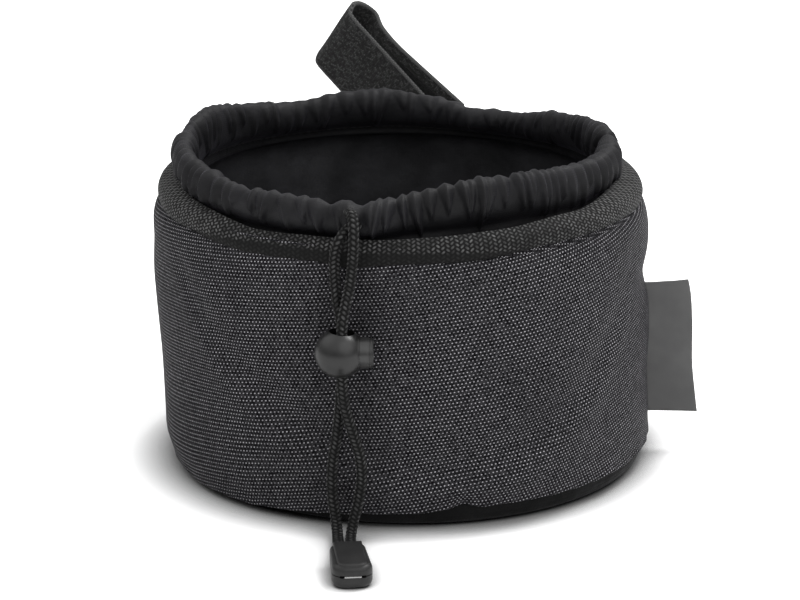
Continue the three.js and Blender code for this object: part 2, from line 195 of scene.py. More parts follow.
def setStudio():
    world = bpy.data.worlds.new("studio")
    bpy.context.scene.world = world
    sky = Finish(world, "ShaderNodeBackground", Strength=1.0)
    _, _, up = sky.split(sky.node("ShaderNodeTexCoord", {}, []))
    sky.feed(Color=sky.mix(up.step(0.0, 0.7), grey(studio["horizon"]), grey(studio["zenith"])))
    for lamp in studio["lamps"]:
        addLamp(*lamp)
    bpy.ops.mesh.primitive_plane_add(size=studio["floorSize"], location=(0, 0, -0.0001))
    floor = bpy.context.object
    floor.name = "floor"
    white = Finish(bpy.data.materials.new("floor_white"), "ShaderNodeBsdfDiffuse")
    seen, mirrored, through = [white.node("ShaderNodeLightPath", {}, [], at) for at in (0, 3, 6)]
    mirrored = mirrored.math("MAXIMUM", through)
    # painted shadow: the floor's colour is darkened where nearby parts occlude it
    near = white.node("ShaderNodeAmbientOcclusion", {"samples": 8}, {"Distance": studio["paintedShadowReach"] * mm}, 1)
    light = near ** studio["paintedShadowPower"]
    seenWithPaintedShadow = white.mix(light, grey(0.0), grey(studio["floorSeen"]))  # painted contact shadow: ambient occlusion darkens the floor's colour close under the bag
    plain = white.mix(mirrored, grey(studio["floor"]), grey(studio["floorMirrored"]))
    white.feed(Color=white.mix(seen, plain, seenWithPaintedShadow))
    floor.data.materials.append(white.owner)


bpy.ops.object.select_all(action="DESELECT")
setCamera()
setStudio()
print("camera, light and floor set")


# Helpers for cloth and cord meshes
def smooth(value, low, high):
    share = np.clip((value - low) / (high - low), 0, 1)
    return share * share * (3 - 2 * share)


def curveThrough(points, steps=16):  # centripetal curve through the points
    line = np.array(points, float)
    line = np.vstack([2 * line[0] - line[1], line, 2 * line[-1] - line[-2]])
    made = []
    for a, b, c, d in zip(line, line[1:], line[2:], line[3:]):
        gaps = [max(np.linalg.norm(q - p) ** 0.5, 1e-6) for p, q in ((a, b), (b, c), (c, d))]
        into = (b - a) / gaps[0] - (c - a) / (gaps[0] + gaps[1]) + (c - b) / gaps[1]
        out = (c - b) / gaps[1] - (d - b) / (gaps[1] + gaps[2]) + (d - c) / gaps[2]
        into, out = into * gaps[1], out * gaps[1]
        t = np.linspace(0, 1, steps, endpoint=False)[:, None]
        made.append(
            b + into * t + (3 * (c - b) - 2 * into - out) * t ** 2 + (2 * (b - c) + into + out) * t ** 3)
    return np.vstack([*made, line[-2]])


def lengths(line):
    steps = np.linalg.norm(np.diff(line, axis=0), axis=1)
    return np.concatenate([[0], np.cumsum(steps)])


def evenly(line, spacing):
    along = lengths(line)
    count = max(2, int(round(along[-1] / spacing)) + 1)
    at = np.linspace(0, along[-1], count)
    return np.column_stack([np.interp(at, along, line[:, k]) for k in range(line.shape[1])])


def arc(r, z, radiusR, radiusZ, start, end, steps):
    angles = np.radians(np.linspace(start, end, steps + 1))
    return np.column_stack([r + radiusR * np.cos(angles), z + radiusZ * np.sin(angles)])


def ripple(angle, counts, seed, drift=0.0):  # irregular folds round the bag, about 1 high
    draw = np.random.default_rng(seed)
    total = np.zeros(np.broadcast(angle, drift).shape)
    for count in counts:
        size, phase, lean = draw.normal(), draw.uniform(0, 2 * math.pi), draw.normal()
        total = total + size * np.cos(count * angle + phase + lean * drift)
    return total / math.sqrt(len(counts))


def loft(name, grid, across, along, finish, ring=True, tube=False, caps=False):
    rows, columns = grid.shape[:2]
    index = np.arange(rows * columns).reshape(rows, columns)
    if ring:
        index = np.column_stack([index, index[:, 0]])
    if tube:
        index = np.vstack([index, index[0]])
    corners = [index[:-1, :-1], index[:-1, 1:], index[1:, 1:], index[1:, :-1]]
    faces = np.stack(corners, axis=-1).reshape(-1, 4).tolist()
    if caps:
        faces += [index[0, :columns][::-1].tolist(), index[-1, :columns].tolist()]
    mesh = bpy.data.meshes.new(name)
    mesh.from_pydata((grid.reshape(-1, 3) * mm).tolist(), [], faces)
    u, v = np.meshgrid(across[:index.shape[1]], along[:index.shape[0]])
    pair = np.stack([u, v], axis=-1)
    cells = np.stack([pair[:-1, :-1], pair[:-1, 1:], pair[1:, 1:], pair[1:, :-1]], axis=2)
    flat = np.zeros((len(mesh.loops), 2), np.float32)
    quads = cells.reshape(-1, 2)
    flat[:len(quads)] = quads
    mesh.uv_layers.new(name="cloth").data.foreach_set("uv", flat.ravel())
    piece = bpy.data.objects.new(name, mesh)
    bpy.context.scene.collection.objects.link(piece)
    shape = bmesh.new()
    shape.from_mesh(mesh)
    bmesh.ops.remove_doubles(shape, verts=shape.verts, dist=1e-6)
    bmesh.ops.recalc_face_normals(shape, faces=shape.faces)
    shape.to_mesh(mesh)
    shape.free()
    mesh.shade_smooth()
    mesh.materials.append(finish.owner)
    return piece


def around(profile, columns):  # a closed outline of (radius, height) turned about the bag
    angles = np.linspace(0, 2 * math.pi, columns, endpoint=False)
    r, z = profile[:, 0:1], profile[:, 1:2]
    return angles[None, :], np.broadcast_to(r, (len(r), columns)), np.broadcast_to(z, (len(z), columns))


def toPoints(angle, r, z, centreX):
    return np.stack([centreX + r * np.cos(angle), r * np.sin(angle), z + 0 * r], axis=-1)


# Woven wall: black yarn with pale flecks in staggered rows
wall = {
    "radius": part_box("outer_wall")[1].y / mm, "footTaper": 1.5, "corner": 6, "foot": 7.5,
    "thickness": 1.0, "shoulder": 10, "slouchStart": 8, "tuckRadius": 88.5, "footTuck": 1.4, "top": 104.4,
    "columns": 480, "threads": 400, "rowPitch": 1.3,
    "slant": 56,  # rows that the slant adds up to round the bag
    "creaseLow": 25, "creaseCurve": 0.0145, "creaseMiddle": 6, "creaseDepth": 1.7, "creaseWidth": 6.5,
    "creaseReach": 55, "lumps": 0.95, "fineLumps": 0.42,
    "pucker": 0.3, "notchAt": 11.4, "notchWidth": 2.4, "notchHeight": 1.3,
    "dent": 2.2, "dentAt": (87, 71), "dentSize": (14, 8),  # pulled in by the tab, in degrees and height
    "sag": 1.2, "sagWidth": 28,
    "hollowAt": -12.3, "hollowWidth": 5.5, "hollow": 1.6,
    # how far the foot's edge hangs lower, by degrees from the front
    "footDrop": ((-115, 0), (-85, 4), (-60, 5.4), (-40, 5), (-20, 2.8), (0, 1.2), (12, 0)),
}
band = {"bottom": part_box("rim_band")[0].z / mm, "top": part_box("rim_band")[1].z / mm}
slouch = -(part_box("rim_band")[0].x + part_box("rim_band")[1].x) / 2 / mm


def slouchAt(z):
    share = np.clip((z - wall["slouchStart"]) / (band["bottom"] - wall["slouchStart"]), 0, 1)
    return -slouch * np.sin(share * math.pi / 2)


def wallRadius(z):
    start = band["bottom"] - 0.3 - wall["shoulder"]
    foot = wall["radius"] - wall["footTaper"]
    rise = foot + wall["footTaper"] * smooth(z, wall["corner"], start)
    share = np.clip((z - start) / wall["shoulder"], 0, 1)
    tucked = wall["tuckRadius"] + (wall["radius"] - wall["tuckRadius"]) * np.sqrt(1 - share ** 2)
    return np.where(z <= start, rise, tucked)


def fromFront(angle):  # degrees from the front, positive to the right
    return np.degrees(np.arctan2(np.cos(angle), -np.sin(angle)))


def wallDents(angle, z):  # how far the slack cloth stands out or in
    front = fromFront(angle)
    middle = wall["creaseLow"] + wall["creaseCurve"] * (front - wall["creaseMiddle"]) ** 2
    near = np.exp(-(front / wall["creaseReach"]) ** 4)
    away = (z - middle) / wall["creaseWidth"]
    crease = 0.55 * np.exp(-((away - 2.4) / 1.6) ** 2) + 0.85 * np.exp(-((away + 1.9) / 1.2) ** 2)
    crease = crease - np.exp(-away ** 2)
    lumps = ripple(angle, (2, 3, 4, 5, 7), 11, z / 26) * wall["lumps"]
    lumps = lumps + ripple(angle, (8, 11, 13), 5, z / 17) * wall["fineLumps"]
    (dentTurn, dentHigh), (dentWide, dentTall) = wall["dentAt"], wall["dentSize"]
    dent = wall["dent"] * np.exp(-((front - dentTurn) / dentWide) ** 2 - ((z - dentHigh) / dentTall) ** 2)
    left = np.exp(-((front + 90) / wall["sagWidth"]) ** 2) * (1 - smooth(z, 70, 92))
    right = np.exp(-((front - 90) / wall["sagWidth"]) ** 2) * (1 - smooth(z, 30, 50))
    sag = wall["sag"] * (left - right) * smooth(z, 8, 16)
    slack = smooth(z, 5, 20) * (1 - smooth(z, 84, 97))
    behind = (front - wall["hollowAt"]) / wall["hollowWidth"]  # behind the lock
    hollow = wall["hollow"] * np.exp(-behind ** 2) * smooth(z, 16, 30)
    return (wall["creaseDepth"] * near * crease + lumps) * slack - dent + sag - hollow


def wovenFinish():
    cloth = newFinish("woven_wall", Specular_IOR_Level=0.05)
    u, v = cloth.uv()
    v = v - u * (wall["slant"] / wall["threads"])
    shift = (v.floor() * 0.5).fract()
    across = ((u + shift).fract() - 0.5) * 2.0
    up = (v.fract() - 0.5) * 2.0
    away = across * across * 3.8 + up * up * 5.4
    dots = away.step(0.0, 1.2, 1.0, 0.0)
    yarns = cloth.noise(420, 2).step(0.25, 0.75, 0.45, 1.2)
    broad = cloth.noise(26, 3).step(0.3, 0.7, 0.8, 1.1)
    grain = cloth.noise(1300, 2).step(0.38, 0.62) * away.step(1.2, 3.2, 0.15, 1.0)
    ground = cloth.mix(grain, (0.005, 0.0048, 0.006, 1), (0.046, 0.045, 0.049, 1))
    cloth.feed(
        Base_Color=cloth.mix(dots * yarns * broad, ground, (0.58, 0.567, 0.6, 1)),
        Roughness=0.66 - dots * 0.22,
        Normal=cloth.bump(dots + grain * 0.3, 0.12 * mm, 0.7))
    return cloth


def makeWall():
    heights = np.concatenate([
        wall["foot"] + np.array([0, 0.5, 1.2, 2.2, 3.4]), np.linspace(13, 86, 46), np.linspace(88, 99.4, 14),
        [102, wall["top"]]])
    outer = np.column_stack([wallRadius(heights), heights])
    outer[0, 0] -= 0.3
    inner = outer[::-3] - [wall["thickness"], 0]
    profile = np.vstack([outer, inner])
    angle, r, z = around(profile, wall["columns"])
    low = 1 - smooth(z, wall["foot"], wall["foot"] + 7)
    notch = wall["notchHeight"] * np.exp(-((fromFront(angle) - wall["notchAt"]) / wall["notchWidth"]) ** 2)
    pucker = wall["pucker"] * ripple(angle, (11, 17, 23, 31, 44), 17)
    tuck = wall["footTuck"] * (1 - smooth(z, wall["foot"], wall["foot"] + 9))
    turns, drops = np.array(wall["footDrop"], float).T
    drop = np.interp(fromFront(angle), turns, drops) * (1 - smooth(z, wall["foot"], 45))
    r = r + wallDents(angle, z) - tuck + low * (pucker - notch * 0.7) + 0.3 * drop
    grid = toPoints(angle, r, z + low * (0.8 * pucker + notch) - drop, slouchAt(z))
    across = np.linspace(0, wall["threads"], wall["columns"] + 1)
    along = np.append(lengths(profile), 0) / wall["rowPitch"]
    piece = loft("bag_wall", grid, across, along, wovenFinish(), tube=True)
    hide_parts("outer_wall")
    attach(piece, "bag")


makeWall()
print("wall made")


# Base cloth: a shallow dish that comes up inside the wall's foot
base = {
    "dish": ((80, 0), (83.6, 0.5), (85.8, 2), (86.8, 4.2), (87.1, 6.6), (87.1, 9.2)), "thickness": 0.5,
    "columns": 160,
}


def turned(name, top, under, columns, finish, pitch, waves=0.0):  # a sheet closed at its middle
    profile = np.vstack([top, under])
    angle, r, z = around(profile, columns)
    lift = np.where(np.arange(len(profile))[:, None] < len(top), waves, 0) * smooth(r, 0, 20)
    lift = lift * (1 - smooth(r, r.max() - 8, r.max()))
    grid = toPoints(angle, r, z + lift * np.clip(ripple(angle, (2, 3, 5, 6), 21, r / 14), 0, None), 0)
    for row in (0, len(profile) - 1):
        grid[row] = grid[row].mean(0)
    piece = loft(name, grid, np.zeros(columns + 1), np.zeros(len(profile) + 1), finish)
    mesh = piece.data
    uv = mesh.uv_layers["cloth"].data
    for face in mesh.polygons:
        steep = abs(face.normal.z) < 0.9
        for at, corner in zip(face.loop_indices, face.vertices):
            x, y, height = mesh.vertices[corner].co / mm / pitch
            turn = math.atan2(y, x)
            if turn < 0 and math.atan2(face.center.y, face.center.x) > 3:
                turn += 2 * math.pi
            uv[at].uv = (turn * r.max() / pitch, height) if steep else (x, y)
    return piece


def makeBase(finish):
    rise = evenly(curveThrough(base["dish"], 6), 1.0)
    flat = np.column_stack([np.linspace(0.001, 78, 24), np.zeros(24)])
    under = np.vstack([flat, rise])
    step = np.gradient(under, axis=0)
    step /= np.linalg.norm(step, axis=1)[:, None]
    top = under + np.column_stack([-step[:, 1], step[:, 0]]) * base["thickness"]
    top[:, 0] = np.maximum(top[:, 0], 0.001)
    piece = turned("base_cloth", top, under[::-1], base["columns"], finish, 1.4)
    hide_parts("outer_base")
    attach(piece, "bag")


# Thin plain cloth of the collar and the lining
def thinFinish(name, level, tint, pitch, low=1.0, gloss=0.3):  # low is a painted shade: the colour darkens towards the lower edge, standing in for the shade under the hem
    cloth = newFinish(name, Sheen_Weight=gloss * 0.2, Sheen_Roughness=0.35, Sheen_Tint=(0.75, 0.72, 0.9, 1),
                      Specular_IOR_Level=gloss)
    u, v = cloth.uv()
    weave = ((u * pitch).fract() - 0.5) * ((v * pitch).fract() - 0.5) * 4.0
    # the random tone is multiplied by a painted shade that darkens the lower edge
    shade = cloth.noise(60, 4).step(0.3, 0.72, 0.75, 1.2) * v.step(2.0, 14.0, low, 1.0)
    dark = (level * tint[0], level * tint[1], level * tint[2], 1)
    pale = tuple(2.6 * c for c in dark[:3]) + (1,)
    cloth.feed(
        Base_Color=cloth.mix((shade - 0.75) * 1.6, dark, pale),
        Roughness=0.46 + cloth.noise(90, 3) * 0.2,
        Normal=cloth.bump(weave * 0.3 + cloth.noise(170, 4) * 3.0, 0.3 * mm, 0.6))
    return cloth


lining = {
    "gap": 1.5, "thickness": 0.6, "bottom": 6.4, "top": 104.2, "columns": 240, "folds": 1.1, "footInset": 2.7,
    "around": 560, "floorRadius": 85.5, "floorThickness": 0.7, "floorWaves": 0.5,
}


def makeLining(finish):
    heights = np.concatenate([np.linspace(lining["bottom"], 92, 40), np.linspace(94, lining["top"], 7)])
    radii = wallRadius(heights) - lining["gap"] - lining["footInset"] * (1 - smooth(heights, 8, 17))
    outer = np.column_stack([radii, heights])
    inner = outer[::-1] - [lining["thickness"], 0]
    profile = np.vstack([outer, inner])
    angle, r, z = around(profile, lining["columns"])
    slack = np.clip(ripple(angle, (9, 12, 14, 17, 23), 31, z / 18), 0, 3) * smooth(z, 8, 30)
    slack = slack * (1 - smooth(z, 92, 99)) * lining["folds"]
    grid = toPoints(angle, r + np.minimum(wallDents(angle, z), 0.2) - 0.2 - slack, z, slouchAt(z))
    across = np.linspace(0, lining["around"], lining["columns"] + 1)
    along = np.append(lengths(profile), 0)
    piece = loft("lining_cloth", grid, across, along, finish, tube=True)
    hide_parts("lining_wall")
    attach(piece, "bag")
    edge = lining["floorRadius"]
    rings = np.concatenate([[0.001], np.linspace(4, edge - 0.3, 24), [edge]])
    low = np.column_stack([rings, np.full(len(rings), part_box("lining_base")[0].z / mm)])
    top = low + [0, lining["floorThickness"]]
    floor = turned("lining_floor", top, low[::-1], 120, finish, 1.0, lining["floorWaves"])
    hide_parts("lining_base")
    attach(floor, "bag")


# painted shade, in part: the base is dark cloth, and its colour is set near black with little sheen so that
# its strip under the wall's foot is as dark as the shade there
makeBase(thinFinish("base_cloth", 0.005, (1, 1, 1.03), 1.0, 1.0, 0.08))
makeLining(thinFinish("lining_cloth", 0.019, (1, 1, 1.1), 1.6))
print("base and lining made")


# Rim binding: coarse tape rolled over the wall's top edge
rim = {
    "outer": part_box("rim_band")[1].y / mm - 1.1, "inner": 85.3, "columns": 480, "cells": 324, "pitch": 1.56,
    # below this height the tape is plain and dark: partly plain tape, partly painted shade on its lower half
    "plain": 102.4,
    # how far the tape lies inwards over the opening, by angle from the right, anticlockwise from above
    "inset": ((0, 5.2), (20, 3.8), (45, 1.3), (70, 0), (130, 0), (150, 2.2), (165, 4), (180, 4.8), (195, 4.6),
              (210, 3.4), (232, 1), (250, 0), (280, 0), (300, 1), (317, 3), (340, 5.8), (350, 5.6)),
    # rise of its top and bottom edges, by degrees from the front
    "rise": ((-90, 0, 0), (-56, -1, 0.6), (-45, -2.2, -1.8), (-38, -2.8, -2.8), (-22, -2.2, -2.5),
             (-4, -1.7, -2.2), (3, -1.5, -1.5), (11, -1.2, -1.4), (20, -0.3, -0.2), (30, -0.2, 1.2),
             (43, 0.5, 1.8), (51, 0, 2.2), (70, 0, 1.2), (90, 0, 0)),
}


def rimInset(angle):
    turns, depths = np.array(rim["inset"], float).T
    return np.interp(angle, np.radians(turns), depths, period=2 * math.pi)


def rimRise(angle, share):  # at a share of the tape's height
    turns, tops, bottoms = np.array(rim["rise"], float).T
    front = fromFront(angle)
    return np.interp(front, turns, bottoms) * (1 - share) + np.interp(front, turns, tops) * share


def braidField(cloth):  # strands over two and under two, as the height of the one on top
    u, v = cloth.uv()
    first, second = u + v, u - v
    turn = (first.floor() + second.floor()).math("FLOORED_MODULO", 4.0)
    over = turn.math("LESS_THAN", 1.5)
    a = (first.fract() - 0.5) * 2.0
    b = (second.fract() - 0.5) * 2.0
    one = ((second.fract() + turn) * (math.pi / 2)).math("SINE") * (1 - a * a)
    two = ((first.fract() + turn - 2.0) * (math.pi / 2)).math("SINE") * (1 - b * b)
    return over * one + (1 - over) * two


def tapeFinish(name, dark, pale, relief, gloss, plainAndShadedBelow=-1):
    cloth = newFinish(name, Sheen_Weight=0.03, Sheen_Roughness=0.5, Specular_IOR_Level=gloss)
    strands = braidField(cloth)
    fibres = cloth.noise(900, 2).step(0.3, 0.7, 0.6, 1.1)
    broad = cloth.noise(45, 3).step(0.3, 0.7, 0.75, 1.1) * cloth.noise(360, 2).step(0.3, 0.7, 0.3, 1.2)
    x, _, height = cloth.split(cloth.place())
    # painted light and shade: the flecks are made brighter towards the bag's left and right sides, where the
    # lamps fall on the tape; below the given height they fade out, partly as plain tape and partly as painted
    # shade
    sides = x.step(-5 * mm, 80 * mm) + x.step(-85 * mm, -50 * mm, 0.9, 0.0)
    paintedLightHeight = height + sides * (3 * mm)
    turned = x.step(50 * mm, 88 * mm) + x.step(-88 * mm, -60 * mm, 0.9, 0.0)
    plainTapeAndPaintedLight = paintedLightHeight.step(plainAndShadedBelow * mm, (plainAndShadedBelow + 1) * mm, 0.12, 1.0) * (turned * 2.0 + 0.85)
    flecks = strands.step(0.3, 0.95) * fibres * broad * plainTapeAndPaintedLight
    cloth.feed(
        Base_Color=cloth.mix(flecks, grey(dark), grey(pale)),
        Roughness=0.74 - strands * 0.3,
        Normal=cloth.bump(strands * plainTapeAndPaintedLight + cloth.noise(1500, 1) * 0.2, relief * mm, 0.9))
    return cloth


def makeRim():
    outer, inner, low, top = rim["outer"], rim["inner"], band["bottom"], band["top"]
    line = [
        (outer - 1.2, low + 0.2), (outer - 0.6, low), (outer - 0.2, low + 1.2), (outer, low + 3.3),
        (outer - 0.5, low + 5), (outer - 1.7, top - 2.2), (outer - 3.1, top - 0.7), (inner + 0.7, top),
        (inner + 0.1, top - 1.2), (inner, low + 3), (inner + 0.1, low), (inner + 0.9, low + 0.2),
        (inner + 1, top - 2.2), (outer - 2.4, top - 3), (outer - 1.3, low + 4.2)]
    profile = evenly(curveThrough(line, 6), 0.75)
    angle, r, z = around(profile, rim["columns"])
    sway = ripple(angle, (3, 5, 8, 12), 41) * 0.25 - rimInset(angle) * smooth(outer - r, 0.8, outer - inner)
    rise = rimRise(angle, (z - low) / (top - low)) + ripple(angle, (4, 6, 9, 13), 43) * 0.25
    grid = toPoints(angle, r + sway, z + rise, -slouch)
    across = np.linspace(0, rim["cells"], rim["columns"] + 1)
    along = np.append(lengths(profile), 0) / rim["pitch"]
    finish = tapeFinish("rim_tape", 0.011, 0.15, 0.3, 0.1, rim["plain"])
    piece = loft("rim_binding", grid, across, along, finish, tube=True)
    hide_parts("rim_band")
    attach(piece, "bag")


makeRim()
print("rim made")


# Gathered collar with its hem tunnel
collar = {
    "skirtRadius": 84.6, "skirtBottom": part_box("collar")[0].z / mm, "hemRadius": 81.6, "hemWidth": 7.2,
    "hemDepth": 12.4, "top": 117.4, "thickness": 0.4, "layerGap": 0.5, "seamRise": 2.2, "columns": 1080,
    "around": 507, "gather": 2.4, "overhang": 2.4, "leanFrom": 101, "leanTo": 111,
    # height of the top edge and its lean outwards, by angle from the right, anticlockwise from above
    "edge": ((0, 120.4, -4.4), (14, 120.8, -4), (25, 120.2, -3.6), (42, 117.2, -2.5), (56, 113.6, -1.5),
             (69, 112.6, -1), (79, 115.6, 0), (92, 119, 0), (106, 118.4, 0), (118, 116.8, 0), (128, 117.6, 0),
             (136, 119.8, 0), (146, 121.8, 0), (152, 123.2, 0), (160, 122.4, -0.5), (172, 121, -1.4),
             (195, 120.4, -1.6), (209, 119.4, -1.2), (225, 118, -1), (237, 118.4, -1), (247, 118.5, -0.5),
             (252, 117.8, 0), (256, 117.8, 0), (259, 116.8, 0), (262, 117, -0.3), (266, 118.2, -1.8),
             (270, 119.6, -3.4), (275, 121.4, -5), (281, 122.8, -6.4), (292, 123.8, -7.4), (306, 123.6, -7.4),
             (320, 122.6, -6.8), (335, 121, -5.8), (348, 120.2, -4.8)),
    "bulges": ((256.4, 3.2), (263.2, 2.8)), "bulge": 2,  # where the strands lie under the cloth
    "bandClear": ((107, 85), (108.5, 86), (109.5, 88), (111, 92)),  # height, and the radius to stay within
}


def collarEdge(angle):  # lift of the top edge, and its lean
    turns, tops, leans = np.array(collar["edge"], float).T
    full = 2 * math.pi
    lift = np.interp(angle, np.radians(turns), tops, period=full) - collar["top"]
    return lift, np.interp(angle, np.radians(turns), leans, period=full)


def gathers(angle, down):  # puckers under the hem's edge, each running out to a point
    draw = np.random.default_rng(67)
    turn = np.degrees(angle) % 360
    total = np.zeros(np.broadcast(angle, down).shape)
    at = 0.0
    while at < 360:
        wide, deep, high, lean = draw.uniform((1.5, 7, 0.55, -0.2), (3.4, 15, 1.3, 0.2))
        calm = 1 - 0.45 * smooth(math.sin(math.radians(at) - 0.2), -0.2, 0.3)  # softer at the back
        away = np.abs((turn - at - lean * down + 180) % 360 - 180)
        spread = wide * np.clip(1 - down / deep, 0.02, 1)
        fold = calm * high * np.clip(1 - away / spread, 0, 1) ** 0.8
        total = np.maximum(total, fold * smooth(deep - down, 0, 3))
        at += wide * draw.uniform(1.1, 1.9)
    return total


def collarPlace(angle, r, z):  # the plain ring's points, leaned and lifted as the collar is
    c = collar
    lift, lean = collarEdge(angle)
    front = smooth(-np.sin(angle), 0.2, 0.8)
    inset = np.maximum(rimInset(angle), -0.8 * lean * front) + c["overhang"] * front
    up = smooth(z, c["leanFrom"], c["leanTo"])
    reach = c["top"] - c["skirtBottom"]
    return r - inset + (lean + inset) * up, c["skirtBottom"] + (z - c["skirtBottom"]) * (1 + lift / reach)


def makeCollar(finish):
    c = collar
    middle = c["top"] - c["hemDepth"] / 2
    skirt, low = c["skirtRadius"] - c["thickness"] / 2, c["skirtBottom"]
    hem = arc(c["hemRadius"], middle, c["hemWidth"] / 2, c["hemDepth"] / 2, -62, 242, 48)
    line = evenly(np.vstack([
        [(skirt, low), (skirt, low + c["seamRise"])], hem,
        [(skirt - c["layerGap"], low + c["seamRise"]), (skirt - c["layerGap"], low)]]), 0.75)
    ahead = np.gradient(line, axis=0)
    ahead /= np.linalg.norm(ahead, axis=1)[:, None]
    out = np.column_stack([ahead[:, 1], -ahead[:, 0]])
    along = lengths(line)
    cloth = np.vstack([line, line[::-1]])
    facing = np.vstack([out, out[::-1]])
    skin = np.vstack([out, -out[::-1]]) * c["thickness"] / 2
    along = np.concatenate([along, along[::-1]])
    angle, r, z = around(cloth, c["columns"])
    high = smooth(z, 106, c["top"] - 1)
    down = c["top"] - z
    soft = ripple(angle, (9, 13, 16, 22, 27), 57, down * 0.12)
    fine = ripple(angle, (67, 89, 103, 127), 59, down * 0.3)
    push = c["gather"] * (gathers(angle, down) - 0.25) + 0.5 * soft * smooth(z, 103, 110) + 0.14 * fine * high
    turn = np.degrees(angle) % 360
    for at, wide in c["bulges"]:
        push = push + c["bulge"] * np.exp(-((turn - at) / wide) ** 2) * smooth(z, 106, 111)
    r, z = collarPlace(angle, r, z)
    r = r + push * facing[:, 0:1]
    z = z + push * facing[:, 1:2] * 0.6
    heights, limits = np.array(c["bandClear"], float).T
    r = np.minimum(r, np.interp(z, heights, limits) - rimInset(angle)) + skin[:, 0:1]
    grid = toPoints(angle, r, z + skin[:, 1:2], -slouch)
    across = np.linspace(0, c["around"], c["columns"] + 1)
    piece = loft("gathered_collar", grid, across, np.append(along, 0), finish, tube=True)
    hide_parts("collar")
    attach(piece, "bag")


# painted shade: the collar's colour darkens towards its lower edge, where the hem shades it
makeCollar(thinFinish("collar_cloth", 0.0065, (1, 0.98, 1.16), 1.6, 0.6))
print("collar made")


# Braided drawstring
string = {
    "diameter": 4.0, "carriers": 6, "pitch": 1.7, "relief": 0.34, "sides": 48, "spacing": 0.24,
    "start": (-25.5, -98.3326, 0),  # the lock's middle, on the floor
    "hemFrom": -3, "hemTo": -33, "hemRise": 4.5, "hemTop": 113.2,  # where the loop meets the strands
}
cordRoutes = {
    "cord_upper_right": [
        (-11.75, 24.6, 113.2), (-7.2, 22.75, 113.3), (-2.9, 20.95, 113.8), (0.8, 18.3, 114.9),
        (3.1, 14.4, 116.1), (4.3, 10.3, 116.2), (4.8, 6.7, 113.8), (4.9, 4.5, 109.4),
        (4.7, 4.3, 104), (4.2, 4.2, 98.5), (3.5, 3.2, 93), (2, 0.4, 86.5),
        (1, -1.7, 81), (0.7, -2.15, 76.5), (0.7, -2.15, 69.65)],
    "cord_upper_left": [
        (17.75, 17.7, 110.8), (12.8, 17.9, 111), (8.7, 16.8, 111.4), (5.4, 13.6, 111.8),
        (2.6, 9.9, 111.2), (0.1, 7.4, 108.6), (-1.4, 6.9, 104.5), (-1.9, 6.8, 99.5),
        (-1.6, 5.9, 93.5), (-0.8, 4, 87), (0.3, 2.45, 81), (0.7, 2.15, 76.5), (0.7, 2.15, 69.65)],
    "cord_lower_right": [
        (0.7, -2.15, 69.35), (0.7, -2.15, 60.5), (1.7, -1.6, 50), (4.4, -0.4, 40),
        (6.8, 0.7, 31), (7.4, 1.4, 22.5), (6.2, 1.1, 13.5), (4.4, -0.9, 6.5),
        (3.6, -5.5, 2.7), (3.75, -10.2, 2.1), (4, -14.7, 2.8), (4.35, -19.2, 4),
        (4.74, -23.46, 4.5), (5.63, -32.4, 4.5)],
    "cord_lower_left": [
        (0.7, 2.15, 69.35), (0.7, 2.15, 60.5), (0, 2.4, 50), (-1.3, 2.8, 38),
        (-2.9, 3.3, 26), (-2.9, 3.4, 15), (-1.7, 1.8, 7), (-1.05, -3.2, 2.9),
        (-0.8, -9.2, 2.1), (-0.4, -14.2, 2.7), (0.05, -19.2, 4),
        (0.46, -23.88, 4.5), (1.35, -32.85, 4.5)],
}


def strandHeight(u, v):  # the same braid as in the finish, as relief
    first, second = u + v, u - v
    turn = (np.floor(first) + np.floor(second)) % 4
    a, b = (first % 1 - 0.5) * 2, (second % 1 - 0.5) * 2
    one = np.sin((second % 1 + turn) * math.pi / 2) * (1 - a * a) ** 0.7
    two = np.sin((first % 1 + turn - 2) * math.pi / 2) * (1 - b * b) ** 0.7
    return np.where(turn < 1.5, one, two)


def tubeAlong(name, path, finish, sides, size, relief=0):
    ahead = np.gradient(path, axis=0)
    ahead /= np.linalg.norm(ahead, axis=1)[:, None]
    side = np.cross(ahead[0], [0.3, 0.2, 1.0])
    sideways = []
    for way in ahead:
        side = side - way * (side @ way)
        side = side / np.linalg.norm(side)
        sideways.append(side)
    sideways = np.array(sideways)
    upward = np.cross(ahead, sideways)
    turn = np.linspace(0, 2 * math.pi, sides, endpoint=False)[None, :]
    along = lengths(path) / string["pitch"]
    across = np.linspace(0, string["carriers"], sides + 1)
    u, v = across[None, :-1], along[:, None]
    bulge = strandHeight(u, v) if relief else 0
    r = size / 2 - relief * (0.8 - bulge) + 0 * v
    grid = path[:, None] + r[..., None] * (
        np.cos(turn)[..., None] * sideways[:, None] + np.sin(turn)[..., None] * upward[:, None])
    return loft(name, grid, across, along, finish, caps=True)


def cordPath(node):
    return evenly(curveThrough(np.array(cordRoutes[node]) + string["start"]), string["spacing"])


def makeCords(finish):
    for node in cordRoutes:
        path = cordPath(node)
        name = node.replace("cord", "strand")
        piece = tubeAlong(name, path, finish, string["sides"], string["diameter"], string["relief"])
        upper = "upper" in node
        if upper:
            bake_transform(piece)
        else:
            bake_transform(piece)
        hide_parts(node)
        string["diameter"] * mm


